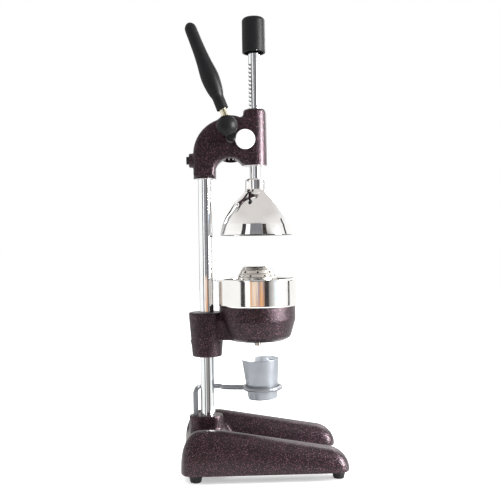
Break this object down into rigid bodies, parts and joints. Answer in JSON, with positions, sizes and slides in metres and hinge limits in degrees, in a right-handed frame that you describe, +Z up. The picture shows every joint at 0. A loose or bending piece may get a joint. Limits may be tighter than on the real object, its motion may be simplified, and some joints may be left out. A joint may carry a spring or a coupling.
{
  "type": "lever citrus juice press",
  "caption": "Tall hand press with a rack-and-pinion lever, a chrome pressing dome, a perforated reamer in a strainer pan, a juice bowl, and a drip cup on a two-legged cast stand.",
  "frame": {"origin": "on the table under the middle of the base, at the bottom of the rubber feet", "axes": "+Z up along the column; +X forwards, towards the user, where the base legs point; +Y to the far side from the lever"},
  "size_m": [0.244, 0.19, 0.693],
  "materials": {
    "hammered_paint": "dark plum hammered paint, glossy",
    "chrome_plate": "bright chrome plate",
    "stainless_steel": "polished stainless steel sheet",
    "plain_steel": "machined steel",
    "black_plastic": "satin black moulded plastic",
    "foot_rubber": "matt black rubber",
    "nickel_plate": "yellowish nickel plate",
    "white_plastic": "plain white plastic",
    "grey_paint": "silver-grey paint",
    "silver_plastic": "silver-grey moulded plastic"
  },
  "bodies": {
    "stand": {"base_casting": "hammered_paint", "foot_front_near": "foot_rubber", "foot_front_far": "foot_rubber", "foot_rear_near": "foot_rubber", "foot_rear_far": "foot_rubber", "column_tube": "chrome_plate", "head_casting": "hammered_paint", "head_clamp_screw": "plain_steel", "shaft_bush": "plain_steel", "gear_cover": "grey_paint", "cover_screw_1": "plain_steel", "cover_screw_2": "plain_steel", "gear_window_plug": "white_plastic", "bowl_arm": "hammered_paint", "bowl_arm_screw": "plain_steel", "juice_spout": "stainless_steel"},
    "lever": {"pinion_gear": "plain_steel", "pinion_shaft": "chrome_plate", "lever_ball": "black_plastic", "lever_rod": "nickel_plate", "lever_grip": "black_plastic"},
    "plunger": {"rack_rod": "chrome_plate", "rod_cap": "black_plastic", "press_dome": "chrome_plate", "dome_nut": "plain_steel"},
    "strainer": {"strainer_pan": "stainless_steel", "reamer_cone": "stainless_steel"},
    "cup_arm": {"cup_holder": "grey_paint"},
    "cup": {"drip_cup": "silver_plastic"}
  },
  "joints": [
    {"name": "lever_turn", "type": "hinge", "parent": "stand", "child": "lever", "pos_m": [-0.0423, 0, 0.506], "axis": [0, 1, 0], "range_deg": [0, 142]},
    {"name": "rod_slide", "type": "slide", "parent": "stand", "child": "plunger", "axis": [0, 0, -1], "range_m": [0, 0.0745]},
    {"name": "strainer_lift", "type": "slide", "parent": "stand", "child": "strainer", "axis": [0, 0, 1], "range_m": [0, 0.02]},
    {"name": "cup_arm_swing", "type": "hinge", "parent": "stand", "child": "cup_arm", "pos_m": [-0.1022, 0, 0.08], "axis": [0, 0, 1], "range_deg": [0, 90]},
    {"name": "cup_lift", "type": "slide", "parent": "cup_arm", "child": "cup", "axis": [0, 0, 1], "range_m": [0, 0.018]}
  ],
  "couplings": [
    {"joint": "rod_slide", "follows": "lever_turn", "m_per_rad": 0.03}
  ]
}
